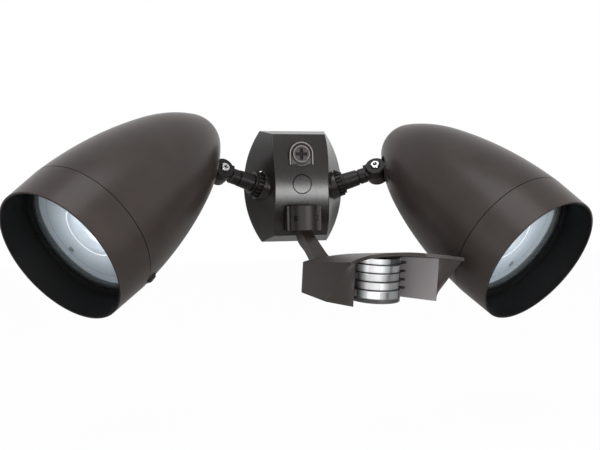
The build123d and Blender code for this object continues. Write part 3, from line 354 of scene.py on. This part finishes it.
for side in ("left", "right"):
    hood_enamel = bronze_enamel(side + "_hood_enamel_black_inside", **lamp_spray)
    tree, shader, place = nodes_of(hood_enamel)
    enamel = shader.inputs["Base Color"].links[0].from_socket
    gloss = shader.inputs["Roughness"].links[0].from_socket
    outside = put(tree, "Math", {"operation": "GREATER_THAN"}, in_0=from_axis(tree, place, side),
                  in_1=hood_inside_mm * mm)
    tint = put(tree, "Mix", {"data_type": "RGBA"}, Factor=outside.outputs[0], in_6="#0e0e0f", in_7=enamel)
    dull = put(tree, "Mix", Factor=outside.outputs[0], in_2=inside_roughness, in_3=gloss)
    shine = put(tree, "Mix", Factor=outside.outputs[0], in_2=inside_shine, in_3=lamp_spray["shine"])
    fill(tree, shader, Base_Color=tint.outputs[2], Roughness=dull.outputs[0],
         Specular_IOR_Level=shine.outputs[0])
    wear([side + "_hood"], hood_enamel)


# ---------------------------------------------------------------- glass and its seal
# A flat tempered glass, clear with a faint smear, closes each lamp. It lies in a ring of black
# silicone, soft and satin.

glass_smear_mm = 18.0
# The grain of the silicone is drawn coarser than a real one, so that it shows.
silicone_grain_mm = 0.7

glass, tree, shader, place = finish_of("tempered_soda_lime_glass")
smear = put(tree, "TexNoise", Vector=place, Scale=1 / (glass_smear_mm * mm), Detail=2.0)
dull = put(tree, "MapRange", Value=smear.outputs[0], To_Min=0.02, To_Max=0.06)
fill(tree, shader, Base_Color="#c6d2d8", Roughness=dull.outputs[0], Alpha=0.12)
wear(["left_glass", "right_glass"], glass)

silicone, tree, shader, place = finish_of("black_silicone")
grain = put(tree, "TexNoise", Vector=place, Scale=1 / (silicone_grain_mm * mm), Detail=2.0)
tint = put(tree, "Mix", {"data_type": "RGBA"}, Factor=grain.outputs[0], in_6="#0a0a0a", in_7="#181818")
fill(tree, shader, Base_Color=tint.outputs[2], Roughness=0.55)
wear(["left_glass_seal", "right_glass_seal"], silicone)


# ---------------------------------------------------------------- pale plate and reflector cup
# A pressed steel plate in pale powder coat lies behind the glass, with a satin aluminium cup let
# into it. A soft glow round the cup is painted on the plate as emission, a bright glowing ring where
# the cup's flange lies is a painted highlight, and a pressed groove is a painted darker line of
# shade. The board of the light source behind them is as pale.

cup_flange_mm = 31.0
flange_edge_mm = 1.2
press_groove_mm = 58.0
groove_width_mm = 0.8
glow_starts_mm = 24.0
glow_ends_mm = 58.0
glow_near_cup = 0.36
glow_far_out = 0.02
flange_glow = 0.45
powder_grit_mm = 1.0
powder_cloud_mm = 30.0
grit_height_mm = 0.05
satin_mark_mm = 2.0

for side in ("left", "right"):
    plate_paint, tree, shader, place = finish_of(side + "_pale_powder_coat")
    radius = from_axis(tree, place, side)
    grit = put(tree, "TexNoise", Vector=place, Scale=1 / (powder_grit_mm * mm), Detail=2.0)
    cloud = put(tree, "TexNoise", Vector=place, Scale=1 / (powder_cloud_mm * mm), Detail=2.0)
    paint = put(tree, "Mix", {"data_type": "RGBA"}, Factor=cloud.outputs[0], in_6="#a3b0bb", in_7="#bac6d0")
    # The groove is a darker line: painted shade.
    groove = put(tree, "Math", {"operation": "COMPARE"}, in_0=radius, in_1=press_groove_mm * mm,
                 in_2=groove_width_mm / 2 * mm)
    # The flange ring is near white and glows: a painted highlight.
    flange = put(tree, "Math", {"operation": "COMPARE"}, in_0=radius, in_1=cup_flange_mm * mm,
                 in_2=flange_edge_mm / 2 * mm)
    groove_shaded = put(tree, "Mix", {"data_type": "RGBA"}, Factor=groove.outputs[0], in_6=paint.outputs[2],
                  in_7="#7c858e")
    tint = put(tree, "Mix", {"data_type": "RGBA"}, Factor=flange.outputs[0], in_6=groove_shaded.outputs[2],
               in_7="#fbfcfd")
    # The glow round the cup is emission on the plate: painted light.
    glow = put(tree, "MapRange", {"interpolation_type": "SMOOTHSTEP"}, Value=radius,
               From_Min=glow_starts_mm * mm, From_Max=glow_ends_mm * mm, To_Min=glow_near_cup,
               To_Max=glow_far_out)
    painted_glow = put(tree, "Math", {"operation": "MULTIPLY_ADD"}, in_0=flange.outputs[0], in_1=flange_glow,
              in_2=glow.outputs[0])
    skin = put(tree, "Bump", Height=grit.outputs[0], Strength=0.3, Distance=grit_height_mm * mm)
    fill(tree, shader, Base_Color=tint.outputs[2], Normal=skin.outputs[0], Roughness=0.35,
         Emission_Color="#eef4fb", Emission_Strength=painted_glow.outputs[0])
    wear([side + "_bright_plate", side + "_led_board"], plate_paint)

# The cup's faint emission is a painted glow: the cup is no lamp.
cup_satin, tree, shader, place = finish_of("satin_aluminium_reflector")
marks = put(tree, "TexNoise", Vector=place, Scale=1 / (satin_mark_mm * mm), Detail=2.0)
dull = put(tree, "MapRange", Value=marks.outputs[0], To_Min=0.3, To_Max=0.42)
fill(tree, shader, Base_Color="#dfe6ee", Metallic=1.0, Roughness=dull.outputs[0],
     Emission_Color="#e6eff9", Emission_Strength=0.3)
wear(["left_reflector_cup", "right_reflector_cup"], cup_satin)


# ---------------------------------------------------------------- light source and what drives it
# The light source is a patch of warm white phosphor, switched on. Its heat goes into an extruded
# aluminium sink behind the plate, and its driver sits in a white moulded case.

phosphor_dot_mm = 2.5
drawn_line_mm = 0.8
# The grain of the moulded case is drawn coarser than a real one, so that it shows.
case_grain_mm = 0.9
case_grain_depth_mm = 0.04

phosphor, tree, shader, place = finish_of("phosphor_over_light_source")
dots = put(tree, "TexVoronoi", Vector=place, Scale=1 / (phosphor_dot_mm * mm))
tint = put(tree, "Mix", {"data_type": "RGBA"}, Factor=dots.outputs["Distance"], in_6="#fbfbf8",
           in_7="#fdf4de")
fill(tree, shader, Base_Color=tint.outputs[2], Roughness=0.5, Emission_Color=tint.outputs[2],
     Emission_Strength=9.0)
wear(["left_led_emitter", "right_led_emitter"], phosphor)

sink_metal, tree, shader, place = finish_of("extruded_aluminium")
lines = put(tree, "TexNoise", Vector=place, Scale=1 / (drawn_line_mm * mm), Detail=2.0)
dull = put(tree, "MapRange", Value=lines.outputs[0], To_Min=0.35, To_Max=0.55)
fill(tree, shader, Base_Color="#c9cacb", Metallic=1.0, Roughness=dull.outputs[0])
wear(["left_heat_sink", "right_heat_sink"], sink_metal)

driver_case, tree, shader, place = finish_of("white_moulded_polycarbonate")
grain = put(tree, "TexNoise", Vector=place, Scale=1 / (case_grain_mm * mm), Detail=2.0)
skin = put(tree, "Bump", Height=grain.outputs[0], Strength=0.3, Distance=case_grain_depth_mm * mm)
tint = put(tree, "Mix", {"data_type": "RGBA"}, Factor=grain.outputs[0], in_6="#d8d8d4", in_7="#e6e6e2")
fill(tree, shader, Base_Color=tint.outputs[2], Normal=skin.outputs[0], Roughness=0.5)
wear(["left_led_driver", "right_led_driver"], driver_case)


# ---------------------------------------------------------------- sensor arm and head
# The arm is moulded nylon and the head's case moulded ABS, in a matching semi-gloss bronze. The
# base's cheeks beside the lens are painted paler, as painted light. The guard bars and dials are
# black nylon.

# The grain from the mould is drawn about four times as coarse as a real one, so that it shows.
mould_grain_mm = 0.9
mould_grain_depth_mm = 0.04
mould_cloud_mm = 25.0


def moulded(name, deep, pale, roughness, shine=0.35):
    """Moulded plastic with a fine grain from the mould."""
    material, tree, shader, place = finish_of(name)
    grain = put(tree, "TexNoise", Vector=place, Scale=1 / (mould_grain_mm * mm), Detail=2.0)
    cloud = put(tree, "TexNoise", Vector=place, Scale=1 / (mould_cloud_mm * mm), Detail=2.0)
    tint = put(tree, "Mix", {"data_type": "RGBA"}, Factor=cloud.outputs[0], in_6=deep, in_7=pale)
    dull = put(tree, "MapRange", Value=grain.outputs[0], To_Min=roughness - 0.05, To_Max=roughness + 0.07)
    skin = put(tree, "Bump", Height=grain.outputs[0], Strength=0.25, Distance=mould_grain_depth_mm * mm)
    fill(tree, shader, Base_Color=tint.outputs[2], Roughness=dull.outputs[0], Normal=skin.outputs[0],
         Specular_IOR_Level=shine)
    return material


# The head's own directions, and the middle of the lens, measured from the tilt screw.
lens_axis_ahead_mm = 50.5
lens_axis_above_mm = 3.0

tilt = joints["sensor_tilt"]
head_up = Vector(joints["time_dial_turn"]["axis"]).normalized()
head_across = Vector(tilt["axis"]).normalized()
head_back = head_up.cross(head_across)
lens_centre = Vector(tilt["pos_m"]) - head_back * lens_axis_ahead_mm * mm + head_up * lens_axis_above_mm * mm

case_abs = {"deep": "#272220", "pale": "#342d2a", "roughness": 0.38, "shine": 0.4}

bronze_nylon = moulded("bronze_moulded_nylon", deep="#28231f", pale="#35302c", roughness=0.36)
wear(["sensor_arm"], bronze_nylon)
wear(["sensor_cover"], moulded("bronze_moulded_abs", **case_abs))
black_nylon = moulded("black_moulded_nylon", deep="#0d0d0d", pale="#1a1919", roughness=0.4)
wear(["lens_guard", "time_dial", "range_dial"], black_nylon)

# The cheeks are the base's walls beside the lens that stand about upright and look forward. They
# are painted pale grey there as painted light.
cheek_outer_mm = 51.2
cheek_starts_mm = -12.0
most_lean = 0.3
least_forward = 0.2

base_abs = moulded("bronze_moulded_abs_with_satin_cheeks", **case_abs)
tree, shader, place = nodes_of(base_abs)
bronze = shader.inputs["Base Color"].links[0].from_socket
flat = put(tree, "NewGeometry").outputs["True Normal"]
offset = put(tree, "VectorMath", {"operation": "SUBTRACT"}, in_0=place, in_1=lens_centre)
across = put(tree, "VectorMath", {"operation": "DOT_PRODUCT"}, in_0=offset.outputs[0], in_1=head_across)
ahead = put(tree, "VectorMath", {"operation": "DOT_PRODUCT"}, in_0=offset.outputs[0], in_1=-head_back)
upward = put(tree, "VectorMath", {"operation": "DOT_PRODUCT"}, in_0=flat, in_1=head_up)
outward = put(tree, "VectorMath", {"operation": "DOT_PRODUCT"}, in_0=flat, in_1=-head_back)
aside = put(tree, "Math", {"operation": "ABSOLUTE"}, in_0=across.outputs["Value"])
within = put(tree, "Math", {"operation": "LESS_THAN"}, in_0=aside.outputs[0], in_1=cheek_outer_mm * mm)
in_front = put(tree, "Math", {"operation": "GREATER_THAN"}, in_0=ahead.outputs["Value"],
               in_1=cheek_starts_mm * mm)
upright = put(tree, "Math", {"operation": "COMPARE"}, in_0=upward.outputs["Value"], in_1=0.0,
              in_2=most_lean)
forward = put(tree, "Math", {"operation": "GREATER_THAN"}, in_0=outward.outputs["Value"],
              in_1=least_forward)
placed = put(tree, "Math", {"operation": "MULTIPLY"}, in_0=within.outputs[0], in_1=in_front.outputs[0])
facing = put(tree, "Math", {"operation": "MULTIPLY"}, in_0=upright.outputs[0], in_1=forward.outputs[0])
cheek = put(tree, "Math", {"operation": "MULTIPLY"}, in_0=placed.outputs[0], in_1=facing.outputs[0])
# The cheeks take a pale grey: painted light.
lit_walls = put(tree, "Mix", {"data_type": "RGBA"}, Factor=cheek.outputs[0], in_6=bronze, in_7="#7f7b7c")
fill(tree, shader, Base_Color=lit_walls.outputs[2])
wear(["sensor_base"], base_abs)


# ---------------------------------------------------------------- guard tabs
# A rounded tab at each end of each guard bar, moulded in one with it in black nylon, where the bar
# is let into the case.

guard_bars = 4
lowest_bar_mm = -7.3
bar_pitch_mm = 8.8
tab_bearings = {"right": 62.0, "left": -86.0}
tab_reach_mm = 28.2
tab_half_out_mm = 3.2
tab_half_along_mm = 2.6
tab_half_up_mm = 1.5
tab_steps = 12

for row in range(guard_bars):
    for end, bearing in tab_bearings.items():
        out = -head_back * cos(radians(bearing)) + head_across * sin(radians(bearing))
        level = head_up * (lowest_bar_mm + row * bar_pitch_mm) * mm
        stand = Matrix.Translation(lens_centre + out * tab_reach_mm * mm + level)
        axes = (out * tab_half_out_mm, head_up.cross(out) * tab_half_along_mm, head_up * tab_half_up_mm)
        stretch = Matrix(axes).transposed().to_4x4()
        tab_form = bmesh.new()
        bmesh.ops.create_uvsphere(tab_form, u_segments=tab_steps, v_segments=tab_steps, radius=mm,
                                  matrix=stand @ stretch)
        tab_mesh = bpy.data.meshes.new("guard_tab_%s_%d" % (end, row))
        tab_form.to_mesh(tab_mesh)
        tab_form.free()
        tab_mesh.shade_smooth()
        tab_mesh.materials.append(black_nylon)
        tab = bpy.data.objects.new("guard_tab_%s_%d" % (end, row), tab_mesh)
        bpy.context.scene.collection.objects.link(tab)
        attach(tab, "sensor_head")


# ---------------------------------------------------------------- drum rim
# The round rim under the lens, where the drum that holds it ends. It is dark grey nylon, moulded in
# one with the drum, and a little glossier than the case.

rim_top_mm = -16.6
rim_bottom_mm = -20.6
rim_outer_mm = 26.3
rim_inner_mm = 23.5
rim_steps = 72

rim_section = ((rim_outer_mm, rim_top_mm), (rim_outer_mm, rim_bottom_mm),
               (rim_inner_mm, rim_bottom_mm), (rim_inner_mm, rim_top_mm))
points = []
for radius, level in rim_section:
    for step in range(rim_steps):
        way = 2 * pi * step / rim_steps
        spoke = head_across * cos(way) - head_back * sin(way)
        points.append(lens_centre + (spoke * radius + head_up * level) * mm)
faces = []
for corner in range(len(rim_section)):
    here = corner * rim_steps
    there = (corner + 1) % len(rim_section) * rim_steps
    for step in range(rim_steps):
        after = (step + 1) % rim_steps
        faces.append((here + step, here + after, there + after, there + step))

rim_mesh = bpy.data.meshes.new("lens_drum_rim")
rim_mesh.from_pydata(points, [], faces)
grey_nylon = moulded("grey_moulded_nylon", deep="#2b2a2a", pale="#454343", roughness=0.35, shine=0.5)
rim_mesh.materials.append(grey_nylon)
rim = bpy.data.objects.new("lens_drum_rim", rim_mesh)
bpy.context.scene.collection.objects.link(rim)
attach(rim, "sensor_head")


# ---------------------------------------------------------------- circuit boards and detector
# Two boards of glass-filled epoxy, green with paler tracks, are fixed in the case behind the lens.
# The smaller one carries the motion detector in its plated can.

track_cell_mm = 3.0
track_width = 0.06

board_resin, tree, shader, place = finish_of("glass_epoxy_circuit_board")
tracks = put(tree, "TexVoronoi", {"feature": "DISTANCE_TO_EDGE"}, Vector=place,
             Scale=1 / (track_cell_mm * mm))
line = put(tree, "Math", {"operation": "LESS_THAN"}, in_0=tracks.outputs[0], in_1=track_width)
tint = put(tree, "Mix", {"data_type": "RGBA"}, Factor=line.outputs[0], in_6="#0f3d20", in_7="#2c6a3a")
fill(tree, shader, Base_Color=tint.outputs[2], Roughness=0.4)
wear(["sensor_board", "detector_board"], board_resin)
wear(["motion_detector"], zinc)


# ---------------------------------------------------------------- sensor lens
# A curtain of moulded polyethylene round the detector: milky, semi-gloss, with upright segments
# that gather the warmth of a passing body onto it. Each has a tone of its own, and one column of
# them is painted brightest and glowing: a painted highlight.

segments_round = 12
segment_height_mm = 8.8
segment_bow_mm = 1.2
scatter_depth_mm = 2.0
# Shares of a full turn: where the first segment starts, where the painted highlight stands, and how
# far from there the painted highlight is full and is gone.
segment_start = 8 / 360
brightest_at = -141 / 360
bright_core = 0.03
bright_edge = 0.12
# What each segment's own tone counts for, beside its nearness to the painted highlight.
own_tone = 0.3
# From this brightness on a segment glows by emission, a painted light, up to this strength.
gleam_from = 0.55
full_gleam = 0.5

milky, tree, shader, place = finish_of("milky_polyethylene")
offset = put(tree, "VectorMath", {"operation": "SUBTRACT"}, in_0=place, in_1=lens_centre)
across = put(tree, "VectorMath", {"operation": "DOT_PRODUCT"}, in_0=offset.outputs[0], in_1=head_across)
behind = put(tree, "VectorMath", {"operation": "DOT_PRODUCT"}, in_0=offset.outputs[0], in_1=head_back)
height = put(tree, "VectorMath", {"operation": "DOT_PRODUCT"}, in_0=offset.outputs[0], in_1=head_up)
turn = put(tree, "Math", {"operation": "ARCTAN2"}, in_0=across.outputs["Value"],
           in_1=behind.outputs["Value"])
share = put(tree, "Math", {"operation": "DIVIDE"}, in_0=turn.outputs[0], in_1=2 * pi)
column = put(tree, "Math", {"operation": "MULTIPLY_ADD"}, in_0=share.outputs[0], in_1=segments_round,
             in_2=segment_start * segments_round)
row = put(tree, "Math", {"operation": "DIVIDE"}, in_0=height.outputs["Value"], in_1=segment_height_mm * mm)
cell = put(tree, "CombineXYZ", X=column.outputs[0], Y=row.outputs[0])
tile = put(tree, "VectorMath", {"operation": "FLOOR"}, in_0=cell.outputs[0])
tone = put(tree, "TexWhiteNoise", Vector=tile.outputs[0])
across_tile = put(tree, "Math", {"operation": "FRACT"}, in_0=column.outputs[0])
bow = put(tree, "Math", {"operation": "PINGPONG"}, in_0=across_tile.outputs[0], in_1=0.5)
skin = put(tree, "Bump", Height=bow.outputs[0], Strength=0.5, Distance=segment_bow_mm * mm)
aside = put(tree, "Math", {"operation": "SUBTRACT"}, in_0=share.outputs[0], in_1=brightest_at)
away = put(tree, "Math", {"operation": "ABSOLUTE"}, in_0=aside.outputs[0])
near_highlight = put(tree, "MapRange", {"interpolation_type": "SMOOTHSTEP"}, Value=away.outputs[0],
           From_Min=bright_core, From_Max=bright_edge, To_Min=1.0, To_Max=0.0)
mixed_tone = put(tree, "Math", {"operation": "MULTIPLY"}, in_0=tone.outputs["Value"], in_1=own_tone)
depth = put(tree, "Math", {"operation": "MULTIPLY_ADD"}, in_0=near_highlight.outputs[0], in_1=1 - own_tone,
            in_2=mixed_tone.outputs[0])
# The brightest column is lightened and made to glow: a painted highlight.
tint = put(tree, "Mix", {"data_type": "RGBA"}, Factor=depth.outputs[0], in_6="#2e2f31", in_7="#f2f3f4")
gleam = put(tree, "MapRange", Value=depth.outputs[0], From_Min=gleam_from, From_Max=1.0, To_Min=0.0,
            To_Max=full_gleam)
fill(tree, shader, Base_Color=tint.outputs[2], Normal=skin.outputs[0], Roughness=0.22,
     Emission_Color=tint.outputs[2], Emission_Strength=gleam.outputs[0], Subsurface_Weight=0.15,
     Subsurface_Scale=scatter_depth_mm * mm)
wear(["sensor_lens"], milky)


# ---------------------------------------------------------------- floor and backdrop
# A plain white paper floor well under the light, which hangs free as in a catalogue, and a white
# world. The floor shows from above only, so that the dials can be looked at from below.

floor_drop = 0.12
floor_half = 6.0
floor_whiteness = 0.98
world_fill = 0.22
# The paper's fibres are drawn far coarser than real ones.
fibre_mm = 6.0

floor_height = cad_box[0][2] - floor_drop
corners = [(-floor_half, -floor_half), (floor_half, -floor_half), (floor_half, floor_half),
           (-floor_half, floor_half)]
floor_mesh = bpy.data.meshes.new("floor")
floor_mesh.from_pydata([(x, y, floor_height) for x, y in corners], [], [(0, 1, 2, 3)])
floor = bpy.data.objects.new("floor", floor_mesh)
bpy.context.scene.collection.objects.link(floor)

paper, tree, shader, place = finish_of("white_paper_roll")
fibre = put(tree, "TexNoise", Vector=place, Scale=1 / (fibre_mm * mm), Detail=3.0)
tint = put(tree, "Mix", {"data_type": "RGBA"}, Factor=fibre.outputs[0], in_6="#f1f1f0", in_7="#f6f6f5")
fill(tree, shader, Base_Color=tint.outputs[2], Roughness=0.9)
rays = put(tree, "LightPath")
seen = put(tree, "Math", {"operation": "MAXIMUM"}, in_0=rays.outputs["Is Camera Ray"],
           in_1=rays.outputs["Is Transmission Ray"])
share = put(tree, "Math", {"operation": "MULTIPLY"}, in_0=seen.outputs[0], in_1=floor_whiteness)
white = put(tree, "Emission", Color=(1.0, 1.0, 1.0, 1.0), Strength=1.0)
mixed = put(tree, "MixShader", in_0=share.outputs[0], in_1=shader.outputs[0], in_2=white.outputs[0])
under = put(tree, "NewGeometry").outputs["Backfacing"]
clear = put(tree, "BsdfTransparent")
one_sided = put(tree, "MixShader", in_0=under, in_1=mixed.outputs[0], in_2=clear.outputs[0])
fill(tree, tree.nodes["Material Output"], Surface=one_sided.outputs[0])
floor_mesh.materials.append(paper)

# The world is white to the eye, in metal and through glass, and gives the light only a weak fill.
world = bpy.data.worlds.new("studio")
world.use_nodes = True
tree = world.node_tree
rays = put(tree, "LightPath")
seen = put(tree, "Math", {"operation": "MAXIMUM"}, in_0=rays.outputs["Is Camera Ray"],
           in_1=rays.outputs["Is Transmission Ray"])
shown = put(tree, "Math", {"operation": "MAXIMUM"}, in_0=seen.outputs[0], in_1=rays.outputs["Is Glossy Ray"])
strength = put(tree, "MapRange", Value=shown.outputs[0], To_Min=world_fill, To_Max=1.0)
fill(tree, tree.nodes["Background"], Color=(1.0, 1.0, 1.0, 1.0), Strength=strength.outputs[0])
bpy.context.scene.world = world


# ---------------------------------------------------------------- studio lamps
# Four soft boxes: a broad one over the front, two from the left and a low, wide one from the right.
# Their sizes are in metres and their powers in watts.

aim = Vector((0.0, -0.15, -0.02))


def soft_box(name, place, width, height, power):
    """Area lamp turned to the aim."""
    lamp = bpy.data.lights.new(name, "AREA")
    lamp.shape = "RECTANGLE"
    lamp.size = width
    lamp.size_y = height
    lamp.energy = power
    box = bpy.data.objects.new(name, lamp)
    box.location = place
    box.rotation_euler = (aim - Vector(place)).to_track_quat("-Z", "Y").to_euler()
    bpy.context.scene.collection.objects.link(box)


soft_box("overhead", (-0.3, -0.8, 1.5), width=1.2, height=1.2, power=15.5)
soft_box("left_fill", (-1.5, -0.95, 0.0), width=0.7, height=0.7, power=5.0)
soft_box("low_left_key", (-0.85, -1.4, -0.3), width=0.6, height=0.6, power=7.0)
soft_box("front_fill", (0.52, -1.75, -0.15), width=1.0, height=0.35, power=20.0)


# ---------------------------------------------------------------- camera
# Level with the light, a little to its left, with a short telephoto lens and a slight roll, so
# that the plate, the lamps and the sensor head stand as in the photograph.

camera_place = Vector((-269.7, -1083.6, -57.0)) * mm
camera_turn = radians(-14.4)
camera_rise = radians(-0.45)
camera_roll = radians(1.2)
focal_length = 54.0

back = Vector((sin(camera_turn) * cos(camera_rise), -cos(camera_turn) * cos(camera_rise), sin(camera_rise)))
level = (-back).cross(Vector((0, 0, 1))).normalized()
down = (-back).cross(level)
image_right = level * cos(camera_roll) + down * sin(camera_roll)
image_up = level * sin(camera_roll) - down * cos(camera_roll)
facing = Matrix((image_right, image_up, back)).transposed().to_4x4()
lens = bpy.data.cameras.new("camera")
lens.lens = focal_length
camera = bpy.data.objects.new("camera", lens)
camera.matrix_world = Matrix.Translation(camera_place) @ facing
bpy.context.scene.collection.objects.link(camera)
bpy.context.scene.camera = camera
bpy.context.scene.view_settings.view_transform = "Standard"
